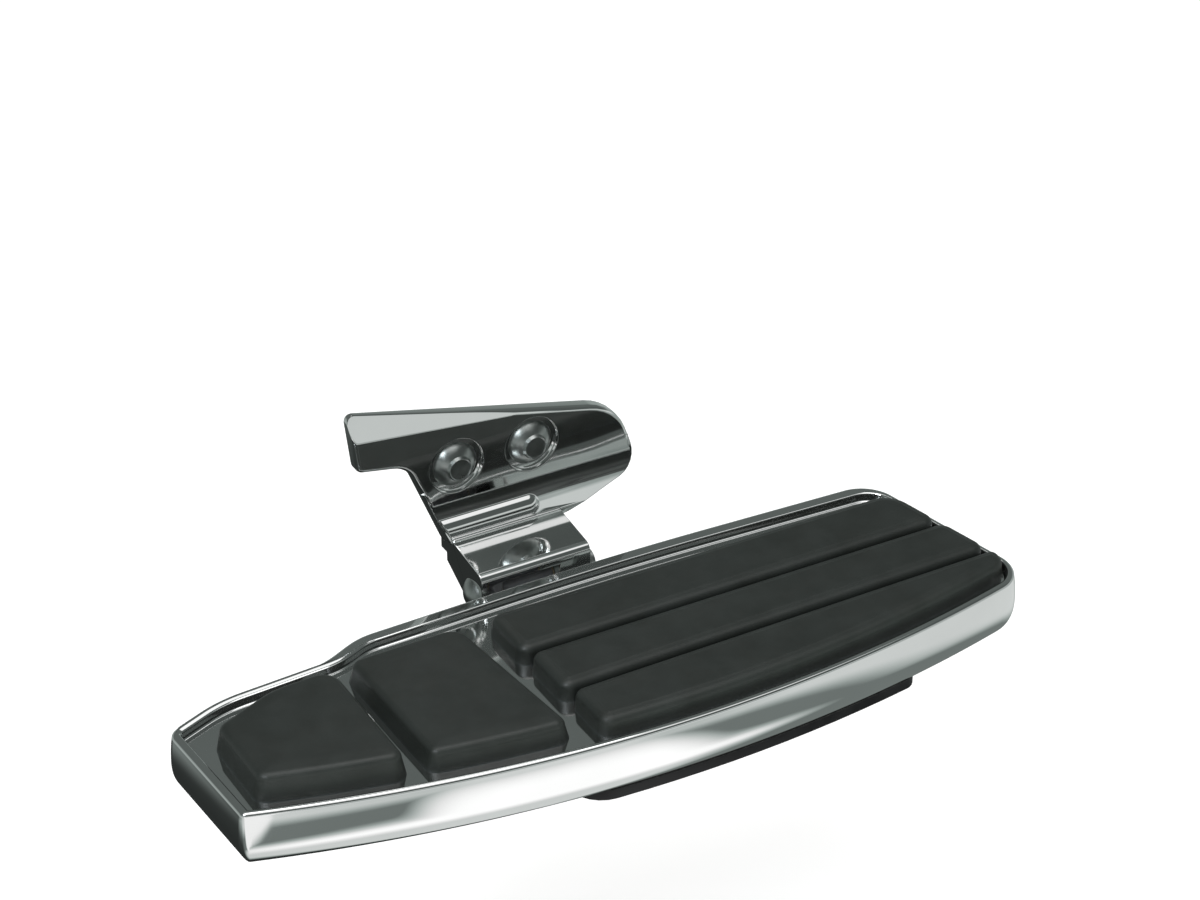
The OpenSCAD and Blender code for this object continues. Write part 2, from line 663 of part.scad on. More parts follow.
module arm_screws() {
    head_r = 1.75 * arm_screw_r;
    head_h = 1.1 * arm_screw_r;
    color(steel) for (s = arm_spots) translate([s[0], s[1], arm_low - arm_washer_t]) difference() {
        union() {
            cylinder(h = arm_screw_l, r = arm_screw_r);
            translate([0, 0, -head_h]) cylinder(h = head_h, r1 = 0.72 * head_r, r2 = head_r);
        }
        translate([0, 0, -head_h - past]) cylinder(h = past + 2, r = 0.77 * arm_screw_r, $fn = 6);
    }
}

module arm_washers() {
    color(steel) for (s = arm_spots) translate([s[0], s[1], arm_low - arm_washer_t]) difference() {
        cylinder(h = arm_washer_t, r = 2.2 * arm_screw_r);
        translate([0, 0, -past]) cylinder(h = arm_washer_t + 2 * past, r = arm_screw_r + 0.2);
    }
}

// Bushes, pin and what keeps it in

bush_l = (eye_end - eye_start) / 2 - 0.5;

module heel_bush() {
    color(bronze) difference() {
        union() {
            on_pin(eye_start - flange_t, eye_start, flange_r);
            on_pin(eye_start - flange_t / 2, eye_start + bush_l, pin_r + pin_play + bush_t);
        }
        on_pin(eye_start - past, eye_start + bush_l + past, pin_r + pin_play);
    }
}

module toe_bush() {
    color(bronze) difference() {
        union() {
            on_pin(eye_end, eye_end + flange_t, flange_r);
            on_pin(eye_end - bush_l, eye_end + flange_t / 2, pin_r + pin_play + bush_t);
        }
        on_pin(eye_end - bush_l - past, eye_end + past, pin_r + pin_play);
    }
}

module hinge_pin() {
    dome_r = (pow(pin_head_r, 2) + pow(pin_head_h, 2)) / (2 * pin_head_h);
    color(steel) difference() {
        union() {
            on_pin(clevis_start - past, clip_x + clip_t + 2.2, pin_r);
            on_pin(clip_x + clip_t + 2.2 - past, clip_x + clip_t + 2.6, pin_r - 0.6);
            intersection() {
                translate([clevis_start - pin_head_h + dome_r, pin_y, pin_z]) sphere(r = dome_r);
                on_pin(clevis_start - pin_head_h - past, clevis_start, pin_head_r);
            }
        }
        difference() {
            on_pin(clip_x - 0.05, clip_x + clip_t + 0.05, pin_r + past);
            on_pin(clip_x - past, clip_x + clip_t + past, pin_r - groove_h);
        }
    }
}

module spring_washer() {
    color(steel) difference() {
        on_pin(slot_end - spring_washer_t, slot_end, flange_r);
        on_pin(slot_end - spring_washer_t - past, slot_end + past, pin_r + 0.3);
    }
}

module plain_washer() {
    color(steel) difference() {
        on_pin(clevis_end, clevis_end + washer_t, ear_r - 0.3);
        on_pin(clevis_end - past, clevis_end + washer_t + past, pin_r + 0.2);
    }
}

// Clip pushed on from below: three inner tongues hold it in the groove
module retaining_clip() {
    seat_r = pin_r - groove_h + 0.1;
    color(steel) difference() {
        union() {
            difference() {
                on_pin(clip_x, clip_x + clip_t, clip_r);
                on_pin(clip_x - past, clip_x + clip_t + past, clip_r - 2);
            }
            for (a = [-105, 0, 105]) translate([clip_x, pin_y, pin_z]) rotate([a, 0, 0])
                translate([0, -1.6, seat_r - 0.5]) cube([clip_t, 3.2, clip_r - seat_r - 0.5]);
        }
        on_pin(clip_x - past, clip_x + clip_t + past, seat_r);
        translate([clip_x - past, pin_y - 0.8 * seat_r, pin_z - clip_r - past])
            cube([clip_t + 2 * past, 1.6 * seat_r, clip_r]);
    }
}

// Mounting bracket. Its plate is drawn as [x, z] from the front.

plate_foot = shelf_root - 3.6;
cove_y = plate_front + 0.3;
cove_sweep = asin((cove_top - shelf_root) / cove_r);
root_y = plate_front - cove_r * (1 - cos(cove_sweep));
plate_corners = [
    [bolt_x + plate_toe - 11, bolt_z + plate_top_up, 25, corner_steps],
    [bolt_x - wing_l, bolt_z + wing_up, 3, 4],
    [bolt_x - wing_l + 3, bolt_z + wing_up - wing_h, 3, 4],
    [bolt_x - wing_root, bolt_z + wing_root_up, 12, corner_steps],
    [clevis_start, plate_foot, 2, 3],
    [clevis_end + 3, plate_foot, 20, 4],
    [bolt_x + plate_toe, plate_toe_z, 11, corner_steps]];
bolt_xs = [bolt_x - bolt_pitch / 2, bolt_x + bolt_pitch / 2];
front_y = pin_y - ear_r;

// Draws a plate outline upright, from the back of the bracket towards its front
module upright() translate([0, plate_back, 0]) rotate([90, 0, 0]) children();

module plate() {
    upright() skin(concat(
        [ring(plate_corners, 0.6, 0), ring(plate_corners, 0, 0.6)],
        [for (a = [0 : 15 : 90]) ring(plate_corners, plate_edge * (1 - cos(a)),
            plate_t - plate_edge * (1 - sin(a)))]));
}

// Front surface where the plate curves out to the shelf's root
module coved_part() {
    steps = 9;
    intersection() {
        along_x(-80, 80) polygon(concat(
            [[plate_back - past, cove_top + past], [cove_y, cove_top + past]],
            [for (i = [0 : steps]) let (a = cove_sweep * i / steps)
                [cove_y - cove_r * (1 - cos(a)), cove_top - cove_r * sin(a)]],
            [[cove_y - cove_r * (1 - cos(cove_sweep)), shelf_root - 3],
                [plate_back - past, shelf_root - 3]]));
        upright() linear_extrude(4 * plate_t) polygon(rounded(moved_in(plate_corners, 0.5)));
    }
}

// Round bar sunk into the cove above the shelf, with a ball at its toe end
module bead() {
    bar_r = (pow(bead_w / 2, 2) + pow(bead_h, 2)) / (2 * bead_h);
    a = asin((cove_top - shelf_root - 0.5 - bead_w / 2) / cove_r);
    far = cove_r + bar_r - bead_h;
    end = bead_end - bead_w / 2;
    intersection() {
        translate([0, cove_y - cove_r + far * cos(a), cove_top - far * sin(a)]) union() {
            translate([-60, 0, 0]) rotate([0, 90, 0]) cylinder(h = 60 + end, r = bar_r);
            translate([end, 0, 0]) sphere(r = bar_r);
        }
        upright() linear_extrude(4 * plate_t) polygon(rounded(moved_in(plate_corners, 1.5)));
    }
}

module shelf() {
    along_x(clevis_start, clevis_end) polygon(concat(
        [[plate_back - past, -shelf_under], [plate_back - past, shelf_root], [root_y, shelf_root]],
        [for (a = [97 : 10.375 : 180]) [front_y + shelf_r + shelf_r * cos(a),
            shelf_front - shelf_r + shelf_r * sin(a)]],
        [[front_y, -shelf_under]]));
    along_x(clevis_start + 0.3, clevis_end - 0.3)
        translate([root_y, shelf_root]) circle(r = ridge_r, $fn = 24);
}

module ear(start, end) {
    along_x(start, end) union() {
        translate([pin_y, pin_z]) circle(r = ear_r);
        translate([front_y, pin_z]) square([2 * ear_r, -pin_z - shelf_under + past]);
    }
}

module gusset(start, end, low) {
    along_x(start, end) polygon([[pin_y, past - shelf_under], [plate_front + past, past - shelf_under],
        [plate_front + past, low], [pin_y + 0.77 * ear_r, pin_z - 0.62 * ear_r], [pin_y, pin_z]]);
}

// Leaning cut that leaves the facet at the top of the plate
module facet_cut() {
    translate([bolt_x - wing_l, plate_front, bolt_z + facet_up]) rotate([0, facet_slope, 0])
        rotate([-facet_lean, 0, 0]) translate([-wing_l, -30, 0]) cube([3 * wing_l, 30, wing_l]);
}

module mount_bracket() {
    color(chrome) difference() {
        union() {
            plate();
            coved_part();
            bead();
            shelf();
            ear(clevis_start, slot_start);
            ear(slot_end, clevis_end);
            gusset(clevis_start, clevis_start + gusset_t, -shelf_under - 4);
            gusset(clevis_end - gusset_t, clevis_end, -plate_low);
            translate([slot_start - 1.5, plate_front, -plate_low])
                cube([clevis_end - slot_start + 1.5, plate_t, plate_low + shelf_root]);
        }
        facet_cut();
        for (x = bolt_xs) translate([x, plate_back, bolt_z]) rotate([90, 0, 0]) {
            translate([0, 0, -past]) cylinder(h = plate_t + 2 * past, r = bolt_r + bolt_play);
            translate([0, 0, plate_t - counterbore_h]) cylinder(h = 4 * plate_t, r = counterbore_r);
        }
        on_pin(clevis_start - past, clevis_end + past, pin_r + pin_play);
    }
}

// Button-head bolt with a hexagon socket, its head in the counterbore
module mount_bolt(x) {
    seat = plate_t - counterbore_h;
    dome_r = (pow(bolt_head_r, 2) + pow(bolt_head_h, 2)) / (2 * bolt_head_h);
    color(steel) translate([x, plate_front + counterbore_h, bolt_z]) rotate([90, 0, 0]) difference() {
        union() {
            translate([0, 0, -seat - bolt_out]) cylinder(h = bolt_out, r = bolt_r);
            translate([0, 0, -seat - past]) cylinder(h = seat + 2 * past, r = bolt_neck_r);
            intersection() {
                translate([0, 0, bolt_head_h - dome_r]) sphere(r = dome_r);
                cylinder(h = bolt_head_h, r = bolt_head_r);
            }
        }
        translate([0, 0, bolt_head_h - 4.4]) cylinder(h = 4.4 + past, r = 4.62, $fn = 6);
    }
}

module heel_mount_bolt() mount_bolt(bolt_xs[0]);
module toe_mount_bolt() mount_bolt(bolt_xs[1]);

// Puts the origin on the back of the bracket, midway between the bolts
module placed() translate([-bolt_x, -plate_back, -bolt_z]) children();

placed() pan();
placed() heel_pad();
placed() instep_pad();
placed() inner_rib_pad();
placed() middle_rib_pad();
placed() outer_rib_pad();
placed() wear_plate();
placed() wear_plate_screws();
placed() hinge_arm();
placed() arm_screws();
placed() arm_washers();
placed() heel_bush();
placed() toe_bush();
placed() hinge_pin();
placed() spring_washer();
placed() plain_washer();
placed() retaining_clip();
placed() mount_bracket();
placed() heel_mount_bolt();
placed() toe_mount_bolt();
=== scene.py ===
import math

import bmesh
import bpy
from mathutils import Matrix, Vector


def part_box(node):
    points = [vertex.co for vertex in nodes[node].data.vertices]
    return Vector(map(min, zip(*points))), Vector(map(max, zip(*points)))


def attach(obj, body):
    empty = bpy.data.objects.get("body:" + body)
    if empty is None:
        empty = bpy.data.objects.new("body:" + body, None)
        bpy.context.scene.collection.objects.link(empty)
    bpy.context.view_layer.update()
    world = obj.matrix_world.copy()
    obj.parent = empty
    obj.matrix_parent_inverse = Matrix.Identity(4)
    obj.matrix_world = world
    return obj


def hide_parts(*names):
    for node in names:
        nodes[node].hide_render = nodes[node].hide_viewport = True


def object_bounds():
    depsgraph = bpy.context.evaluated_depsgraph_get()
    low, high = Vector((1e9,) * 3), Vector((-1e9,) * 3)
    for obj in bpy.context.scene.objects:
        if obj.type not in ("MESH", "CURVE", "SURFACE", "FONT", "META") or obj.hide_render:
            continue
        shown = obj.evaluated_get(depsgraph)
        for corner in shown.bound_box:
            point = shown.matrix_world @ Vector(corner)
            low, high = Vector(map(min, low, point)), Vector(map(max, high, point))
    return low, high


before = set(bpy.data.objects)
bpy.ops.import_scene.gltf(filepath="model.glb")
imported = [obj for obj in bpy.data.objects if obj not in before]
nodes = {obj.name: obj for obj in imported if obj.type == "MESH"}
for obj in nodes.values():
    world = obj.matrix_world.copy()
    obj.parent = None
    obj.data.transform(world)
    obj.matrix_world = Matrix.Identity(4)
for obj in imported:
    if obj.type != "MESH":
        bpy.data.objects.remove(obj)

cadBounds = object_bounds()
mm = 0.001

# The board's own frame, as in the part's source: millimetres, z = 0 at the top of the rim
boardOrigin = Vector((-1, -97, -38.2)) * mm


def onBoard(x, y, z):
    return boardOrigin + Vector((x, y, z)) * mm


# Outlines. A corner is (x, y, radius, steps), and corners run anticlockwise.

def left(v):
    return Vector((-v.y, v.x))


def crossing(p, u, q, v):
    return p + u * ((q - p).cross(v) / u.cross(v))


def headings(corners):
    spots = [Vector(c[:2]) for c in corners]
    return [(spots[(i + 1) % len(spots)] - p).normalized() for i, p in enumerate(spots)]


def rounded(corners):
    count = len(corners)
    ways = headings(corners)
    spots = [Vector(c[:2]) for c in corners]
    turns = [math.atan2(ways[i - 1].cross(ways[i]), ways[i - 1].dot(ways[i])) for i in range(count)]
    reach = [corners[i][2] * math.tan(abs(turns[i]) / 2) for i in range(count)]
    edges = [(spots[(i + 1) % count] - spots[i]).length for i in range(count)]
    points = []
    for i in range(count):
        fit = min(1, 0.999 * edges[i - 1] / (reach[i - 1] + reach[i]),
                  0.999 * edges[i] / (reach[i] + reach[(i + 1) % count]))
        side = left(ways[i - 1]) * math.copysign(corners[i][2] * fit, turns[i])
        centre = spots[i] - ways[i - 1] * reach[i] * fit + side
        for k in range(corners[i][3] + 1):
            spoke = Matrix.Rotation(turns[i] * k / corners[i][3], 2) @ side
            points.append(centre - spoke)
    return points


def movedIn(corners, distance):
    e = distance if isinstance(distance, list) else [distance] * len(corners)
    ways = headings(corners)
    moved = []
    for i, c in enumerate(corners):
        u, v, spot = ways[i - 1], ways[i], Vector(c[:2])
        at = crossing(spot + left(u) * e[i - 1], u, spot + left(v) * e[i], v)
        radius = c[2] - math.copysign((e[i - 1] + e[i]) / 2, u.cross(v) * (e[i - 1] + e[i]))
        moved.append((at.x, at.y, max(0.6, radius), c[3]))
    return moved


def ring(corners, distance, z):
    return [onBoard(p.x, p.y, z) for p in rounded(movedIn(corners, distance))]


bow = {"r": 621, "reach": 66, "x": 26}


def bowRun(x, d):
    return math.sqrt((bow["r"] - d) ** 2 - (x - bow["x"]) ** 2)


def onBow(x, d):
    return Vector((x, bow["r"] - bow["reach"] - bowRun(x, d)))


def bowWay(x, d):
    return Vector((bowRun(x, d), x - bow["x"])) / (bow["r"] - d)


def bowSide(start, end, startR, endR, d, steps=14):
    a, u = onBow(start + startR, d), bowWay(start + startR, d)
    b, v = onBow(end - endR, d), bowWay(end - endR, d)
    middle = crossing(a, u, b, v)
    first, last = a - u * startR, b + v * endR
    return [(*first, startR, steps), (*middle, bow["r"] - d, max(8, round((end - start) / 3.6))),
            (*last, endR, steps)]


# Meshes

def loft(rings, closed=False):
    n = len(rings[0])
    points = [p for r in rings for p in r]
    faces = []
    for j in range(len(rings) if closed else len(rings) - 1):
        a, b = j * n, (j + 1) % len(rings) * n
        faces += [(a + i, a + (i + 1) % n, b + (i + 1) % n, b + i) for i in range(n)]
    if not closed:
        faces.append(tuple(reversed(range(n))))
        faces.append(tuple(range(len(points) - n, len(points))))
    return points, faces


def lathe(origin, axis, profile, steps=64, ends=True):
    # profile is a list of (distance along the axis, radius), in metres
    axis = Vector(axis).normalized()
    across = axis.orthogonal().normalized()
    beside = axis.cross(across)
    rings = []
    for along, radius in profile:
        rings.append([Vector(origin) + axis * along
                      + (across * math.cos(t) + beside * math.sin(t)) * radius
                      for t in (2 * math.pi * i / steps for i in range(steps))])
    points, faces = loft(rings)
    return (points, faces) if ends else (points, faces[:-2])


def meshFrom(name, parts):
    points, faces = [], []
    for partPoints, partFaces in parts:
        offset = len(points)
        points += partPoints
        faces += [tuple(i + offset for i in f) for f in partFaces]
    mesh = bpy.data.meshes.new(name)
    mesh.from_pydata([tuple(p) for p in points], [], faces)
    mesh.update()
    return mesh


def addPiece(name, mesh, material, body, replaced=(), sharp=35):
    piece = bpy.data.objects.new(name, mesh)
    bpy.context.scene.collection.objects.link(piece)
    mesh.materials.clear()
    mesh.materials.append(material)
    mesh.shade_smooth()
    mesh.set_sharp_from_angle(angle=math.radians(sharp))
    weighted = piece.modifiers.new("normals", "WEIGHTED_NORMAL")
    weighted.keep_sharp = True
    weighted.weight = 80
    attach(piece, body)
    if replaced:
        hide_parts(*replaced)
    return piece


def applied(mesh, name, setUp):
    # The mesh after the modifiers that setUp adds to it
    holder = bpy.data.objects.new(name, mesh)
    bpy.context.scene.collection.objects.link(holder)
    setUp(holder)
    result = bpy.data.meshes.new_from_object(
        holder.evaluated_get(bpy.context.evaluated_depsgraph_get()))
    bpy.data.objects.remove(holder)
    return result


def cut(mesh, cutterMesh):
    cutter = bpy.data.objects.new("cutter", cutterMesh)
    bpy.context.scene.collection.objects.link(cutter)

    def setUp(holder):
        boolean = holder.modifiers.new("cut", "BOOLEAN")
        boolean.object = cutter
        boolean.operation = "DIFFERENCE"
        boolean.solver = "EXACT"

    result = applied(mesh, "cutting", setUp)
    bpy.data.objects.remove(cutter)
    return result


def softened(node, width, segments=2, limit=18):
    # A copy of a CAD node's mesh with its sharp edges rounded
    source = nodes[node].data
    mesh = bpy.data.meshes.new(node + "Soft")
    mesh.from_pydata([tuple(v.co) for v in source.vertices], [],
                     [tuple(p.vertices) for p in source.polygons])
    shape = bmesh.new()
    shape.from_mesh(mesh)
    bmesh.ops.remove_doubles(shape, verts=shape.verts, dist=2e-6)
    bmesh.ops.dissolve_limit(shape, angle_limit=math.radians(0.6), verts=shape.verts,
                             edges=shape.edges)
    shape.to_mesh(mesh)
    shape.free()

    def setUp(holder):
        bevel = holder.modifiers.new("bevel", "BEVEL")
        bevel.width = width * mm
        bevel.segments = segments
        bevel.limit_method = "ANGLE"
        bevel.angle_limit = math.radians(limit)
        bevel.use_clamp_overlap = False
        bevel.harden_normals = False

    return applied(mesh, node + "Bevel", setUp)


# Shader tools

def newTree(owner):
    owner.use_nodes = True
    owner.node_tree.nodes.clear()
    return owner.node_tree


def add(tree, kind, values=None, **settings):
    item = tree.nodes.new(kind)
    for key, value in settings.items():
        setattr(item, key, value)
    for key, value in (values or {}).items():
        if isinstance(value, bpy.types.NodeSocket):
            tree.links.new(value, item.inputs[key])
        else:
            item.inputs[key].default_value = value
    return item


def math2(tree, operation, a, b, clamp=False):
    item = add(tree, "ShaderNodeMath", operation=operation, use_clamp=clamp)
    for index, value in enumerate((a, b)):
        if isinstance(value, bpy.types.NodeSocket):
            tree.links.new(value, item.inputs[index])
        else:
            item.inputs[index].default_value = value
    return item.outputs[0]


def ranged(tree, value, low, high, toLow=0.0, toHigh=1.0, smooth=False):
    item = add(tree, "ShaderNodeMapRange", {"From Min": low, "From Max": high, "To Min": toLow,
                                            "To Max": toHigh, "Value": value})
    item.interpolation_type = "SMOOTHSTEP" if smooth else "LINEAR"
    return item.outputs["Result"]


def mixed(tree, factor, a, b):
    item = add(tree, "ShaderNodeMix", data_type="RGBA")
    for index, value in ((0, factor), (6, a), (7, b)):
        if isinstance(value, bpy.types.NodeSocket):
            tree.links.new(value, item.inputs[index])
        elif index == 0:
            item.inputs[index].default_value = value
        else:
            item.inputs[index].default_value = (*value, 1)
    return item.outputs[2]


def newGroup(name, inputs, outputs):
    group = bpy.data.node_groups.new(name, "ShaderNodeTree")
    for label, kind, value in inputs:
        socket = group.interface.new_socket(name=label, in_out="INPUT", socket_type=kind)
        if value is not None:
            socket.default_value = value
    for label, kind in outputs:
        group.interface.new_socket(name=label, in_out="OUTPUT", socket_type=kind)
    return group, group.nodes.new("NodeGroupInput"), group.nodes.new("NodeGroupOutput")


def addGroup(tree, group, values=None):
    item = tree.nodes.new("ShaderNodeGroup")
    item.node_tree = group
    for key, value in (values or {}).items():
        if isinstance(value, bpy.types.NodeSocket):
            tree.links.new(value, item.inputs[key])
        else:
            item.inputs[key].default_value = value
    return item


floatSocket, vectorSocket = "NodeSocketFloat", "NodeSocketVector"

# Uneven surface: a slow wave and a fine grain, both as a normal
unevenGroup, groupIn, groupOut = newGroup(
    "uneven", [("waveScale", floatSocket, 25.0), ("waveDepth", floatSocket, 0.0002),
               ("grainScale", floatSocket, 2500.0), ("grainDepth", floatSocket, 0.00001)],
    [("normal", vectorSocket)])
coords = add(unevenGroup, "ShaderNodeTexCoord").outputs["Object"]
wave = add(unevenGroup, "ShaderNodeTexNoise", {"Vector": coords, "Scale": groupIn.outputs[0],
                                               "Detail": 1.0, "Roughness": 0.4})
grain = add(unevenGroup, "ShaderNodeTexNoise", {"Vector": coords, "Scale": groupIn.outputs[2],
                                                "Detail": 3.0, "Roughness": 0.6})
waveBump = add(unevenGroup, "ShaderNodeBump", {"Height": wave.outputs["Fac"], "Strength": 1.0,
                                               "Distance": groupIn.outputs[1]})
grainBump = add(unevenGroup, "ShaderNodeBump", {"Height": grain.outputs["Fac"], "Strength": 1.0,
                                                "Distance": groupIn.outputs[3],
                                                "Normal": waveBump.outputs["Normal"]})
unevenGroup.links.new(grainBump.outputs["Normal"], groupOut.inputs[0])

# Mask that is 1 on outer edges, broken up by noise
edgeGroup, groupIn, groupOut = newGroup(
    "edges", [("radius", floatSocket, 0.0006), ("breakUp", floatSocket, 0.5)],
    [("mask", floatSocket)])
coords = add(edgeGroup, "ShaderNodeTexCoord").outputs["Object"]
rounding = add(edgeGroup, "ShaderNodeBevel", {"Radius": groupIn.outputs[0]}, samples=6)
facing = add(edgeGroup, "ShaderNodeNewGeometry")
likeness = add(edgeGroup, "ShaderNodeVectorMath", operation="DOT_PRODUCT")
edgeGroup.links.new(rounding.outputs[0], likeness.inputs[0])
edgeGroup.links.new(facing.outputs["Normal"], likeness.inputs[1])
turned = ranged(edgeGroup, likeness.outputs["Value"], 0.995, 0.9)
speckle = add(edgeGroup, "ShaderNodeTexNoise", {"Vector": coords, "Scale": 420.0, "Detail": 3.0})
broken = ranged(edgeGroup, speckle.outputs["Fac"], 0.35, 0.65)
kept = add(edgeGroup, "ShaderNodeMix", {0: groupIn.outputs[1], 2: 1.0, 3: broken})
edgeGroup.links.new(math2(edgeGroup, "MULTIPLY", turned, kept.outputs[0]), groupOut.inputs[0])

# Mask of fine dust, stronger on faces that look up
dustGroup, groupIn, groupOut = newGroup(
    "dust", [("amount", floatSocket, 0.2)], [("mask", floatSocket)])
coords = add(dustGroup, "ShaderNodeTexCoord").outputs["Object"]
facing = add(dustGroup, "ShaderNodeNewGeometry")
upward = add(dustGroup, "ShaderNodeSeparateXYZ", {0: facing.outputs["Normal"]})
clouds = add(dustGroup, "ShaderNodeTexNoise", {"Vector": coords, "Scale": 60.0, "Detail": 5.0,
                                               "Roughness": 0.65})
patchy = ranged(dustGroup, clouds.outputs["Fac"], 0.4, 0.75)
settled = ranged(dustGroup, upward.outputs["Z"], -0.2, 1.0, 0.15, 1.0)
film = math2(dustGroup, "MULTIPLY", patchy, settled)
dustGroup.links.new(math2(dustGroup, "MULTIPLY", film, groupIn.outputs[0], True),
                    groupOut.inputs[0])


def newMaterial(name):
    material = bpy.data.materials.new(name)
    tree = newTree(material)
    shader = add(tree, "ShaderNodeBsdfPrincipled")
    output = add(tree, "ShaderNodeOutputMaterial")
    tree.links.new(shader.outputs[0], output.inputs[0])
    return material, tree, shader


def clouded(tree, scale, detail=3.0):
    coords = add(tree, "ShaderNodeTexCoord").outputs["Object"]
    return add(tree, "ShaderNodeTexNoise", {"Vector": coords, "Scale": scale,
                                            "Detail": detail}).outputs["Fac"]


def makeMetal(name, s):
    material, tree, shader = newMaterial(name)
    tone = clouded(tree, s["toneScale"])
    colour = mixed(tree, ranged(tree, tone, 0.3, 0.7), s["dark"], s["light"])
    dust = addGroup(tree, dustGroup, {"amount": s["dust"]}).outputs[0]
    edges = addGroup(tree, edgeGroup, {"radius": s["edge"] * mm, "breakUp": s["breakUp"]})
    worn = math2(tree, "MULTIPLY", edges.outputs[0], s["wear"])
    colour = mixed(tree, worn, colour, s["bare"])
    colour = mixed(tree, math2(tree, "MULTIPLY", dust, 0.5), colour, (0.42, 0.41, 0.38))
    tree.links.new(colour, shader.inputs["Base Color"])
    tree.links.new(ranged(tree, worn, 0, 1, s["metallic"], 1.0), shader.inputs["Metallic"])
    shader.inputs["Specular IOR Level"].default_value = s["specular"]
    smooth = ranged(tree, clouded(tree, s["roughScale"], 4.0), 0.3, 0.7, *s["rough"])
    tree.links.new(math2(tree, "ADD", smooth, math2(tree, "MULTIPLY", dust, 0.3)),
                   shader.inputs["Roughness"])
    uneven = addGroup(tree, unevenGroup, {
        "waveScale": s["wave"][0], "waveDepth": s["wave"][1] * mm,
        "grainScale": s["grain"][0], "grainDepth": s["grain"][1] * mm})
    tree.links.new(uneven.outputs[0], shader.inputs["Normal"])
    return material


chrome = makeMetal("chrome", {
    "dark": (0.80, 0.805, 0.80), "light": (0.86, 0.865, 0.86), "bare": (0.9, 0.9, 0.9),
    "toneScale": 18.0, "metallic": 1.0, "rough": (0.03, 0.07), "roughScale": 45.0,
    "wave": (24.0, 0.25), "grain": (900.0, 0.0006), "dust": 0.06,
    "edge": 0.5, "wear": 0.0, "breakUp": 0.5, "specular": 0.5})
steel = makeMetal("zincSteel", {
    "dark": (0.27, 0.29, 0.28), "light": (0.40, 0.42, 0.41), "bare": (0.6, 0.61, 0.6),
    "toneScale": 160.0, "metallic": 1.0, "rough": (0.27, 0.36), "roughScale": 220.0,
    "wave": (160.0, 0.01), "grain": (2600.0, 0.002), "dust": 0.12,
    "edge": 0.4, "wear": 0.35, "breakUp": 0.6, "specular": 0.5})
bronze = makeMetal("bronze", {
    "dark": (0.20, 0.17, 0.12), "light": (0.32, 0.27, 0.19), "bare": (0.5, 0.44, 0.32),
    "toneScale": 300.0, "metallic": 1.0, "rough": (0.3, 0.45), "roughScale": 400.0,
    "wave": (200.0, 0.0), "grain": (5000.0, 0.01), "dust": 0.2,
    "edge": 0.3, "wear": 0.6, "breakUp": 0.5, "specular": 0.5})
blackSteel = makeMetal("satinBlack", {
    "dark": (0.004, 0.004, 0.0045), "light": (0.010, 0.0105, 0.011), "bare": (0.2, 0.2, 0.19),
    "toneScale": 60.0, "metallic": 0.0, "rough": (0.34, 0.5), "roughScale": 120.0,
    "wave": (60.0, 0.03), "grain": (1800.0, 0.01), "dust": 0.04,
    "edge": 0.7, "wear": 0.3, "breakUp": 0.9, "specular": 0.22})
castSteel = makeMetal("castCoat", {
    "dark": (0.05, 0.052, 0.055), "light": (0.11, 0.115, 0.12), "bare": (0.4, 0.4, 0.39),
    "toneScale": 80.0, "metallic": 0.15, "rough": (0.38, 0.55), "roughScale": 150.0,
    "wave": (120.0, 0.06), "grain": (900.0, 0.05), "dust": 0.35,
    "edge": 0.6, "wear": 0.4, "breakUp": 0.8, "specular": 0.5})


def makeRubber(s):
    material, tree, shader = newMaterial("rubber")
    colour = mixed(tree, ranged(tree, clouded(tree, 70.0, 4.0), 0.3, 0.7), s["dark"], s["light"])
    edges = addGroup(tree, edgeGroup, {"radius": s["edge"] * mm, "breakUp": 0.25})
    # Edges lighten to a bluish grey: partly rubbed wear, partly a painted highlight standing in for the sheen
    # on the rounded edges
    colour = mixed(tree, math2(tree, "MULTIPLY", edges.outputs[0], s["rubbedAndSheen"]), colour,
                   s["worn"])
    dust = addGroup(tree, dustGroup, {"amount": s["dust"]}).outputs[0]
    colour = mixed(tree, dust, colour, (0.20, 0.20, 0.18))
    tree.links.new(colour, shader.inputs["Base Color"])
    smooth = ranged(tree, clouded(tree, 160.0), 0.3, 0.7, *s["rough"])
    tree.links.new(math2(tree, "ADD", smooth, math2(tree, "MULTIPLY", dust, 0.4)),
                   shader.inputs["Roughness"])
    shader.inputs["IOR"].default_value = 1.52
    uneven = addGroup(tree, unevenGroup, {
        "waveScale": s["wave"][0], "waveDepth": s["wave"][1] * mm,
        "grainScale": s["grain"][0], "grainDepth": s["grain"][1] * mm})
    tree.links.new(uneven.outputs[0], shader.inputs["Normal"])
    return material


rubber = makeRubber({
    # worn is the bluish edge colour: partly rubbed wear, partly painted highlight
    "dark": (0.0165, 0.020, 0.017), "light": (0.0225, 0.0275, 0.0245), "worn": (0.050, 0.060, 0.062),
    "edge": 1.8, "rubbedAndSheen": 0.6, "dust": 0.03, "rough": (0.40, 0.50),
    "wave": (45.0, 0.18), "grain": (1500.0, 0.012)})
print("materials made")

# Pan: one section swept round the outline, with a rounded foot to the recess

panSet = {
    "proud": 0.12, "height": 25.5, "rimR": 1.6, "belly": 1.0, "rimEdge": 0.9,
    "rimSoft": [1.2, 1.2, 0.8, 0.8, 0.8, 1.4, 3.0, 3.0, 0.8],
    "rim": [4, 4, 3.8, 7, 7, 7, 4.5, 4.5, 4.5], "recess": 4.0, "floor": 3.5, "footR": 1.3,
    "skirt": 4.5, "curlIn": 7.0, "curlHeight": 11.5, "lip": 1.6,
    "notch": (-11.5, 13.5, -16.5)}
panCorners = bowSide(-172, 180, 4, 17, 0) + [
    (161.4, 45.8, 18, 16), (30, 52.5, 1500, 14), (-84, 50.5, 32, 12), (-104, 41, 34, 12),
    (-150, 38.5, 60, 12), (-175.5, 28, 7, 12)]


def arc(steps):
    return [math.pi / 2 * i / steps for i in range(steps + 1)]


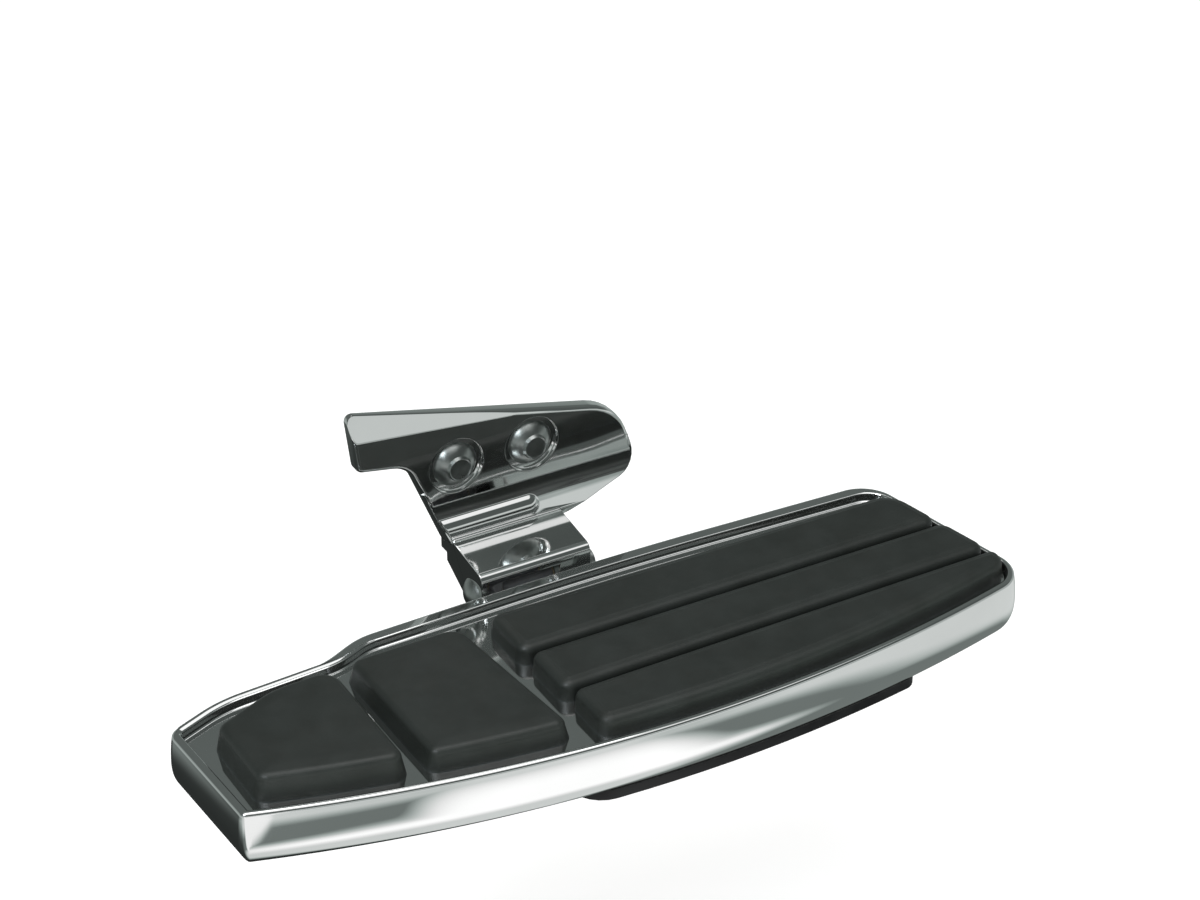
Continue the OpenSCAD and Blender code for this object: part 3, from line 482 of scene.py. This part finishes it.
def panRings(s):
    p, rim = s["proud"], s["rim"]
    curlTop = s["curlHeight"] - s["height"]
    floorTop = -s["recess"] + p

    def rimPlus(w):
        return [r + w for r in rim]

    rings = [ring(panCorners, s["skirt"] + p, -s["recess"] - s["floor"] - p)]
    for a in arc(10):
        inset = s["skirt"] + (s["curlIn"] + s["lip"] - s["skirt"]) * (1 - math.cos(a)) + p
        rings.append(ring(panCorners, inset, curlTop - s["curlHeight"] * math.sin(a)))
    for a in reversed(arc(14)):
        inset = s["curlIn"] * (1 - math.cos(a)) - p * math.cos(a)
        rings.append(ring(panCorners, inset, curlTop - (s["curlHeight"] + p) * math.sin(a)))
    for t in (i / 9 for i in range(1, 9)):
        rings.append(ring(panCorners, s["belly"] * t * t - p, (1 - t) * curlTop - t * s["rimR"]))
    for a in arc(9):
        inset = s["belly"] + s["rimR"] * (1 - math.cos(a)) - p * math.cos(a)
        rings.append(ring(panCorners, inset, s["rimR"] * (math.sin(a) - 1) + p * math.sin(a)))
    for a in arc(8):
        inset = [r - w * (1 - math.sin(a)) + p * math.sin(a) for r, w in zip(rim, s["rimSoft"])]
        rings.append(ring(panCorners, inset, s["rimEdge"] * (math.cos(a) - 1) + p * math.cos(a)))
    for a in arc(7):
        inset = rimPlus(p + s["footR"] * (1 - math.cos(a)))
        rings.append(ring(panCorners, inset, floorTop + s["footR"] * (1 - math.sin(a))))
    return rings


def box(low, high):
    rings = [[onBoard(*p, z) for p in ((low[0], low[1]), (high[0], low[1]), (high[0], high[1]),
                                        (low[0], high[1]))] for z in (low[2], high[2])]
    return loft(rings)


def ribAlong(start, end, top, depth, width):
    # A tapered rib with a rounded tip, from one point to another under the floor
    way = (end - start).normalized()
    side = left(way)
    section = [(width / 2, top), (width / 2 - 0.5, top - depth + 0.9),
               (width / 2 - 1.0, top - depth + 0.2), (0, top - depth)]
    section = section + [(-w, z) for w, z in reversed(section[:-1])]
    rings = []
    for spot in (start, end):
        rings.append([onBoard(*(spot + side * w), z) for w, z in section])
    points, faces = loft(rings)
    return points, [tuple(reversed(f)) for f in faces]


def acrossAt(points, axis, value):
    found = []
    for i, p in enumerate(points):
        q = points[(i + 1) % len(points)]
        if (p[axis] - value) * (q[axis] - value) < 0:
            found.append(p[1 - axis] + (q[1 - axis] - p[1 - axis])
                         * (value - p[axis]) / (q[axis] - p[axis]))
    return min(found), max(found)


underSet = {
    "ribXs": (-132.75, -100.75, -48.5, 50.5, 105.4), "ribYs": (-27.9, 1.9, 32.2),
    "ribDepth": 3.5, "ribWidth": 3.0, "armSpots": ((-27, 36), (-27, -4), (29, 36), (29, -4)),
    "armBoss": (8.0, -17.5), "wearXs": (-27, 16.667, 60.333, 104), "wearIn": 15.5,
    "wearBoss": (6.0, -25.4)}


def underParts(s):
    inside = rounded(movedIn(panCorners, 3.0))
    top = -7.3
    parts = []
    for x in s["ribXs"]:
        low, high = acrossAt(inside, 0, x)
        parts.append(ribAlong(Vector((x, low)), Vector((x, high)), top, s["ribDepth"] + 0.2,
                              s["ribWidth"]))
    for y in s["ribYs"]:
        low, high = acrossAt(inside, 1, y)
        parts.append(ribAlong(Vector((low, y)), Vector((high, y)), top, s["ribDepth"] + 0.2,
                              s["ribWidth"]))
    bosses = [(x, y, *s["armBoss"]) for x, y in s["armSpots"]]
    bosses += [(*onBow(x, s["wearIn"]), *s["wearBoss"]) for x in s["wearXs"]]
    for x, y, r, low in bosses:
        reach = top - low
        profile = [(0, r + 1.4), (0.5, r + 0.6), (1.4, r + 0.1), (2.4, r), (reach - 0.7, r - 0.1),
                   (reach - 0.2, r - 0.3), (reach, r - 0.8)]
        parts.append(lathe(onBoard(x, y, top), (0, 0, -1),
                           [(a * mm, b * mm) for a, b in profile], 48))
    return parts


notch = panSet["notch"]
panShell = cut(meshFrom("panShell", [loft(panRings(panSet))]),
               meshFrom("notch", [box((notch[0], 40, -40), (notch[1], 60, notch[2]))]))
shape = bmesh.new()
shape.from_mesh(panShell)
shape.from_mesh(meshFrom("panUnder", underParts(underSet)))
shape.to_mesh(panShell)
shape.free()
addPiece("pan_shell", panShell, chrome, "board", ("pan",), 40)
print("pan made")

# Pads

padSet = {
    "floor": -4.0, "crown": 0.35, "neckR": 3.2, "bulbR": 4.2, "bulbTop": -7.8,
    "big": {"draft": 1.6, "round": 3.2, "crownWidth": 5.5},
    "rib": {"draft": 0.5, "round": 3.6, "crownWidth": 1.4}}
grooveIn, grooveOut, grooveToe, groove = 1.6, -28.2, -0.9, 0.4
rowIn, rowMid, rowOut = 17.05, -13.3, -41.85
ribStuds = (1, 70.6, 140.2)


def padToe(y):
    return 175.6 - 0.2013 * (y + 46.6)


pads = {
    "heel_pad": ("big", 11.5, bowSide(-161.5, -104, 7, 6, 11) + [
        (-104, 28, 10, 12), (-132.75, 27, 40, 8), (-161.5, 15, 7, 12)],
        [(-146.5, rowMid), (-119, rowMid)]),
    "instep_pad": ("big", 9.5, bowSide(-97.5, -39, 6, 6, 12) + [
        (-47, 31.5, 10, 12), (-98.5, 31.5, 6, 12)],
        [(-68.25, rowMid), (-68.25, rowIn)]),
    "inner_rib_pad": ("rib", 8.7, [
        (-34.8, grooveIn + groove, 6, 12), (padToe(-0.5), grooveToe + groove, 6, 12),
        (padToe(29), 29, 13, 14), (-34.8, 32.5, 6, 12)],
        [(x, rowIn) for x in ribStuds]),
    "middle_rib_pad": ("rib", 8.7, [
        (-32.4, grooveOut + groove, 6, 12), (padToe(-27.8), grooveOut + groove, 6, 12),
        (padToe(-1.3), grooveToe - groove, 7, 12), (-32.4, grooveIn - groove, 5, 12)],
        [(x, rowMid) for x in ribStuds]),
    "outer_rib_pad": ("rib", 8.7, bowSide(-30, padToe(-37.9), 6, 13, 8.5) + [
        (padToe(-28.6), grooveOut - groove, 5, 12), (-30, grooveOut - groove, 5, 12)],
        [(x, rowOut) for x in ribStuds])}


def padMesh(name, kind, height, corners, studs):
    s = padSet[kind]
    foot = padSet["floor"]
    top = foot + height
    rings = [ring(corners, s["draft"] * t, foot + (height - s["round"]) * t)
             for t in (0, 0.08, 0.5, 0.94)]
    for a in (0.93 * a for a in arc(9)):
        inset = s["draft"] + s["round"] * (1 - math.cos(a))
        rings.append(ring(corners, inset, top - s["round"] * (1 - math.sin(a))))
    for t in (0.2, 0.4, 0.6, 0.8, 1.0):
        rise = padSet["crown"] * math.sin(math.pi / 2 * t)
        rings.append(ring(corners, s["draft"] + s["round"] + s["crownWidth"] * t, top + rise))
    parts = [loft(rings)]
    for x, y in studs:
        neck, bulb, drop = padSet["neckR"], padSet["bulbR"], -padSet["bulbTop"]
        profile = [(5, neck), (drop, neck), (drop + 0.05, bulb - 0.3), (drop + 0.3, bulb),
                   (drop + 1.5, bulb), (drop + 3.2, 3.4), (drop + 4.7, 2.6), (drop + 5, 2.1)]
        parts.append(lathe(onBoard(x, y, 0), (0, 0, -1), [(a * mm, b * mm) for a, b in profile],
                           40))
    return meshFrom(name, parts)


for name, (kind, height, corners, studs) in pads.items():
    addPiece(name + "_moulded", padMesh(name, kind, height, corners, studs), rubber, "board",
             (name,), 50)
print("pads made")

# Bracket, arm and wear plate, with their edges rounded

addPiece("bracket_body", softened("mount_bracket", 0.45), chrome, "mount",
         ("mount_bracket",), 30)
addPiece("arm_body", softened("hinge_arm", 0.6), castSteel, "board",
         ("hinge_arm",), 30)
addPiece("wear_strip", softened("wear_plate", 0.6), blackSteel, "board",
         ("wear_plate",), 30)
print("bracket, arm and wear plate made")

# Mounting bolts: button head with a hexagon socket, and a rolled thread

boltSet = {
    "headR": 10.5, "headHeight": 6.6, "socketR": 4.62, "socketDepth": 4.4, "shankR": 6.0,
    "neckR": 5.6, "pitch": 1.75, "threadDepth": 0.95, "threadTurns": 64}


def threadPart(origin, axis, length, s):
    axis = Vector(axis).normalized()
    across = axis.orthogonal().normalized()
    beside = axis.cross(across)
    turns, pitch = s["threadTurns"], s["pitch"]
    profile = [(0.0, 1.0), (0.06, 1.0), (0.36, 0.1), (0.5, 0.0), (0.64, 0.1), (0.94, 1.0)]
    rows = []
    for k in range(-1, math.ceil(length / pitch) + 1):
        rows += [(k + t, depth) for t, depth in profile]
    rings = []
    for turn, high in rows:
        points = []
        for i in range(turns + 1):
            angle = 2 * math.pi * i / turns
            along = min(max((turn + i / turns) * pitch, 0), length)
            r = s["shankR"] - s["threadDepth"] * (1 - high)
            r = min(r, s["shankR"] - max(0, along - length + 1.2))
            spoke = across * math.cos(angle) + beside * math.sin(angle)
            points.append(Vector(origin) + (axis * along + spoke * r) * mm)
        rings.append(points)
    n = turns + 1
    faces = []
    for j in range(len(rings) - 1):
        faces += [(j * n + i, j * n + i + 1, (j + 1) * n + i + 1, (j + 1) * n + i)
                  for i in range(turns)]
    return [p for r in rings for p in r], faces


def boltMesh(name, node, s):
    low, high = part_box(node)
    middle = (low + high) / 2
    seatY = low.y + s["headHeight"] * mm
    dome = (s["headR"] ** 2 + s["headHeight"] ** 2) / (2 * s["headHeight"])
    profile = [(-1.0, s["neckR"]), (0, s["neckR"]), (0, s["headR"] - 0.3),
               (0.12, s["headR"] - 0.08), (0.35, s["headR"] - 0.05)]
    for i in range(1, 19):
        h = 0.35 + (s["headHeight"] - 0.35) * math.sin(math.pi / 2 * i / 18)
        r = math.sqrt(max(0.0, dome ** 2 - (h + dome - s["headHeight"]) ** 2))
        profile.append((h, min(r, s["headR"] - 0.05)))
    profile = [p for p in profile if p[1] > s["socketR"] + 0.5]
    profile += [(s["headHeight"] - 0.12, s["socketR"] + 0.35), (s["headHeight"] - 0.45, s["socketR"] - 0.1)]
    head = meshFrom(name, [lathe((middle.x, seatY, middle.z), (0, -1, 0),
                                 [(a * mm, b * mm) for a, b in profile], 96)])
    socket = []
    for along, r in ((s["headHeight"] + 1, s["socketR"]), (s["headHeight"] - s["socketDepth"], s["socketR"])):
        socket.append([Vector((middle.x + r * mm * math.cos(t), seatY - along * mm,
                               middle.z + r * mm * math.sin(t)))
                       for t in (math.pi / 3 * i + 0.28 for i in range(6))])
    head = cut(head, meshFrom("socket", [loft(socket)]))
    shape = bmesh.new()
    shape.from_mesh(head)
    length = high.y / mm
    shaft = [(0, s["neckR"] - 0.2), (length - 1.0, s["shankR"] - 1.2), (length, s["shankR"] - 1.2)]
    extra = meshFrom("shank", [
        threadPart((middle.x, 0, middle.z), (0, 1, 0), length, s),
        lathe((middle.x, 0, middle.z), (0, 1, 0), [(a * mm, b * mm) for a, b in shaft], 48),
        lathe((middle.x, seatY, middle.z), (0, 1, 0),
              [(a * mm, s["neckR"] * mm) for a in (-0.5, -seatY / mm + 0.5)], 48)])
    shape.from_mesh(extra)
    shape.to_mesh(head)
    shape.free()
    return head


for node in ("heel_mount_bolt", "toe_mount_bolt"):
    addPiece(node + "_m12", boltMesh(node, node, boltSet), steel, "mount", (node,), 32)
print("mounting bolts made")

# Small parts keep their CAD meshes

for names, material in ((("wear_plate_screws", "arm_screws", "arm_washers", "hinge_pin",
                          "spring_washer", "plain_washer", "retaining_clip"), steel),
                        (("heel_bush", "toe_bush"), bronze)):
    for name in names:
        mesh = nodes[name].data
        if len(mesh.materials) == 0:
            mesh.materials.append(material)
        for index in range(len(mesh.materials)):
            mesh.materials[index] = material
print("small parts finished")

# Floor, which the camera sees as plain white and the chrome sees as a glowing painted pattern of light and
# shade (painted bright patches, a painted glow at the heel, a painted shadow under the board), fading into
# the distance

stageSet = {
    "drop": 0.15, "half": 2.2, "seen": 0.5, "albedo": (0.86, 0.86, 0.85), "tint": (0.88, 1.0, 0.96),
    "white": 1.2, "shade": 0.2, "whiteEnd": 0.22, "whiteFade": 0.14, "lobeEnd": 0.1,
    "lobeFade": 0.42, "band": 0.72, "beyond": 0.34, "behind": (0.03, 0.42),
    "heelEnd": (0.04, 0.42)}
floorZ = cadBounds[0][2] - stageSet["drop"]
half = stageSet["half"]
floorMesh = meshFrom("floor", [([Vector((x, y, floorZ)) for x, y in (
    (-half, -half), (half, -half), (half, half), (-half, half))], [(0, 1, 2, 3)])])
floorMaterial = bpy.data.materials.new("paleFloor")
tree = newTree(floorMaterial)
s = stageSet
place = add(tree, "ShaderNodeSeparateXYZ", {0: add(tree, "ShaderNodeNewGeometry").outputs["Position"]})
acrossX = place.outputs["X"]
forward = math2(tree, "SUBTRACT", -0.1, place.outputs["Y"])
squared = math2(tree, "ADD", math2(tree, "POWER", acrossX, 2), math2(tree, "POWER", forward, 2))
distance = math2(tree, "SQRT", squared, 0)
bearing = math2(tree, "ARCTAN2", acrossX, forward)
lobe = math2(tree, "MULTIPLY", ranged(tree, bearing, -0.42, -0.1, 0, 1, True),
             ranged(tree, bearing, 0.52, 0.18, 0, 1, True))
whiteEnd = ranged(tree, lobe, 0, 1, s["whiteEnd"], s["whiteEnd"] + s["lobeEnd"])
whiteFade = ranged(tree, lobe, 0, 1, s["whiteFade"], s["lobeFade"])
faded = math2(tree, "DIVIDE", math2(tree, "SUBTRACT", distance, whiteEnd), whiteFade)
white = ranged(tree, faded, 0, 1, 1, 0, True)
white = math2(tree, "MULTIPLY", white, ranged(tree, bearing, 1.1, 0.42, 0, 1, True))
# Painted highlight: a soft white glow in the chrome at the heel corner
heelAcross = math2(tree, "ADD", acrossX, math2(tree, "MULTIPLY", forward, 0.175))
glow = math2(tree, "MULTIPLY", ranged(tree, bearing, -1.14, -0.98, 0, 1, True),
             ranged(tree, heelAcross, -0.172, -0.188, 0, 1, True))
white = math2(tree, "MAXIMUM", white, math2(tree, "MULTIPLY", glow, 0.85))
# Painted shadow: the glow is dimmed to 0.6 close under the board, standing in for the board's shadow on the
# floor
boardShadowReach = math2(tree, "SQRT", math2(tree, "ADD", math2(
    tree, "POWER", math2(tree, "MULTIPLY", acrossX, 0.45), 2), math2(
    tree, "POWER", forward, 2)), 0)
white = math2(tree, "MULTIPLY", white, ranged(tree, boardShadowReach, 0.12, 0.19, 0.6, 1, True))
turned = math2(tree, "ADD", distance, ranged(tree, bearing, 0.5, 1.0, 0, 0.1, True))
bandUp = ranged(tree, turned, 0.36, 0.54, 0, 1, True)
bandDown = ranged(tree, turned, 0.68, 0.92, s["band"], s["beyond"], True)
band = math2(tree, "MULTIPLY", bandUp, bandDown)
level = math2(tree, "MAXIMUM", math2(tree, "MULTIPLY", white, s["white"]), band)
level = math2(tree, "MAXIMUM", level, s["shade"])
heelSide = math2(tree, "MULTIPLY", ranged(tree, bearing, -1.2, -1.5, 0, 1, True),
                 ranged(tree, distance, 0.75, 0.5, 0, 1, True))
backSide = ranged(tree, forward, -0.05, -0.2, 0, 1, True)
behind = ranged(tree, distance, 0.38, 0.75, *s["behind"], True)
heelEnd = ranged(tree, distance, 0.37, 0.58, *s["heelEnd"], True)
behind = add(tree, "ShaderNodeMix", {0: ranged(tree, acrossX, -0.26, -0.34, 0, 1, True),
                                     2: behind, 3: heelEnd}).outputs[0]
fade = add(tree, "ShaderNodeMix", {0: math2(tree, "MAXIMUM", heelSide, backSide), 2: level,
                                   3: behind}).outputs[0]
shadeTint = mixed(tree, ranged(tree, fade, 0.3, 0.9), s["tint"], (1, 1, 1))
path = add(tree, "ShaderNodeLightPath")
seen = add(tree, "ShaderNodeEmission", {"Color": (1, 1, 1, 1), "Strength": s["seen"]})
mirrored = add(tree, "ShaderNodeEmission", {"Color": shadeTint, "Strength": fade})
lit = add(tree, "ShaderNodeBsdfDiffuse", {"Color": (*stageSet["albedo"], 1)})
inner = add(tree, "ShaderNodeMixShader", {0: path.outputs["Is Glossy Ray"], 1: lit.outputs[0],
                                          2: mirrored.outputs[0]})
shaded = add(tree, "ShaderNodeAddShader", {0: seen.outputs[0], 1: lit.outputs[0]})
outer = add(tree, "ShaderNodeMixShader", {0: path.outputs["Is Camera Ray"], 1: inner.outputs[0],
                                          2: shaded.outputs[0]})
clear = add(tree, "ShaderNodeBsdfTransparent")
below = add(tree, "ShaderNodeNewGeometry").outputs["Backfacing"]
oneSided = add(tree, "ShaderNodeMixShader", {0: below, 1: outer.outputs[0], 2: clear.outputs[0]})
tree.links.new(oneSided.outputs[0], add(tree, "ShaderNodeOutputMaterial").inputs[0])
floor = bpy.data.objects.new("floor", floorMesh)
floorMesh.materials.append(floorMaterial)
bpy.context.scene.collection.objects.link(floor)

# World: plain white behind the object, soft light for it, and a graded room in the chrome

worldSet = {"soft": 0.55, "beyond": 0.34, "behind": 0.13, "low": 0.36, "window": 0.66,
            "wall": 0.1, "above": 1.0}
world = bpy.data.worlds.new("studio")
bpy.context.scene.world = world
tree = newTree(world)
way = add(tree, "ShaderNodeTexCoord").outputs["Generated"]
split = add(tree, "ShaderNodeSeparateXYZ", {0: way})
height = split.outputs["Z"]
frontness = ranged(tree, split.outputs["Y"], 0.1, -0.3, 0, 1, True)
lowBand = ranged(tree, height, 0.0, 0.03, worldSet["beyond"], worldSet["window"], True)
topBand = ranged(tree, height, 0.16, 0.26, 0, 1, True)
front = add(tree, "ShaderNodeMix", {0: topBand, 2: lowBand, 3: worldSet["wall"]}).outputs[0]
back = ranged(tree, height, 0.1, 0.4, worldSet["low"], worldSet["behind"], True)
level = add(tree, "ShaderNodeMix", {0: frontness, 2: back, 3: front}).outputs[0]
upFront = math2(tree, "MULTIPLY", ranged(tree, height, 0.74, 0.80, 0, 1, True),
                ranged(tree, split.outputs["Y"], -0.1, -0.25, 0, 1, True))
upBand = math2(tree, "MAXIMUM", upFront, ranged(tree, height, 0.9, 0.97, 0, 1, True))
level = add(tree, "ShaderNodeMix", {0: upBand, 2: level, 3: worldSet["above"]}).outputs[0]
roomTint = mixed(tree, ranged(tree, level, 0.3, 0.9), (0.88, 1.0, 0.96), (1, 1, 1))
roomLight = add(tree, "ShaderNodeBackground", {"Color": roomTint, "Strength": level})
softLevel = ranged(tree, height, -0.3, 0.8, 0.75 * worldSet["soft"], 1.15 * worldSet["soft"])
softLight = add(tree, "ShaderNodeBackground", {"Color": (1, 1, 1, 1), "Strength": softLevel})
seen = add(tree, "ShaderNodeBackground", {"Color": (1, 1, 1, 1), "Strength": 1.0})
path = add(tree, "ShaderNodeLightPath")
inner = add(tree, "ShaderNodeMixShader", {0: path.outputs["Is Glossy Ray"], 1: softLight.outputs[0],
                                          2: roomLight.outputs[0]})
outer = add(tree, "ShaderNodeMixShader", {0: path.outputs["Is Camera Ray"], 1: inner.outputs[0],
                                          2: seen.outputs[0]})
tree.links.new(outer.outputs[0], add(tree, "ShaderNodeOutputWorld").inputs[0])


def addLight(name, spot, target, size, watts):
    light = bpy.data.lights.new(name, "AREA")
    light.shape = "RECTANGLE"
    light.size, light.size_y = size
    light.energy = watts
    item = bpy.data.objects.new(name, light)
    item.location = spot
    item.rotation_euler = (Vector(target) - Vector(spot)).to_track_quat("-Z", "Y").to_euler()
    bpy.context.scene.collection.objects.link(item)
    return item


addLight("overheadBox", (0.0, -0.2, 1.1), (0, -0.08, 0), (0.8, 0.35), 1.6)
heelBox = addLight("heelBox", (-0.95, -0.55, 1.0), (0, -0.08, 0), (0.5, 0.5), 6.5)
heelBox.data.color = (0.88, 0.95, 1.0)
frontBox = addLight("frontBox", (-0.1, -1.5, -0.05), (0, -0.08, -0.03), (1.6, 0.5), 10.0)
frontBox.visible_glossy = False
addLight("rimCard", (0.1565, 0.28, 0.6), (0.1565, 0.28, 0), (0.143, 0.35), 0.17)

# Camera at the photograph's place

cameraSet = {"place": (-0.4873, -0.9462, 0.6432), "right": (0.868, -0.497, 0.0),
             "up": (0.257, 0.450, 0.855), "lens": 89.25}
camera = bpy.data.cameras.new("camera")
camera.lens = cameraSet["lens"]
camera.sensor_fit = "HORIZONTAL"
camera.sensor_width = 36
cameraObject = bpy.data.objects.new("camera", camera)
right = Vector(cameraSet["right"]).normalized()
back = right.cross(Vector(cameraSet["up"])).normalized()
up = back.cross(right)
cameraObject.matrix_world = Matrix.Translation(cameraSet["place"]) @ Matrix(
    (right, up, back)).transposed().to_4x4()
bpy.context.scene.collection.objects.link(cameraObject)
bpy.context.scene.camera = cameraObject

view = bpy.context.scene.view_settings
view.view_transform = "Standard"
view.look = "None"
view.exposure = 0
view.gamma = 1
print("stage, light and camera made")
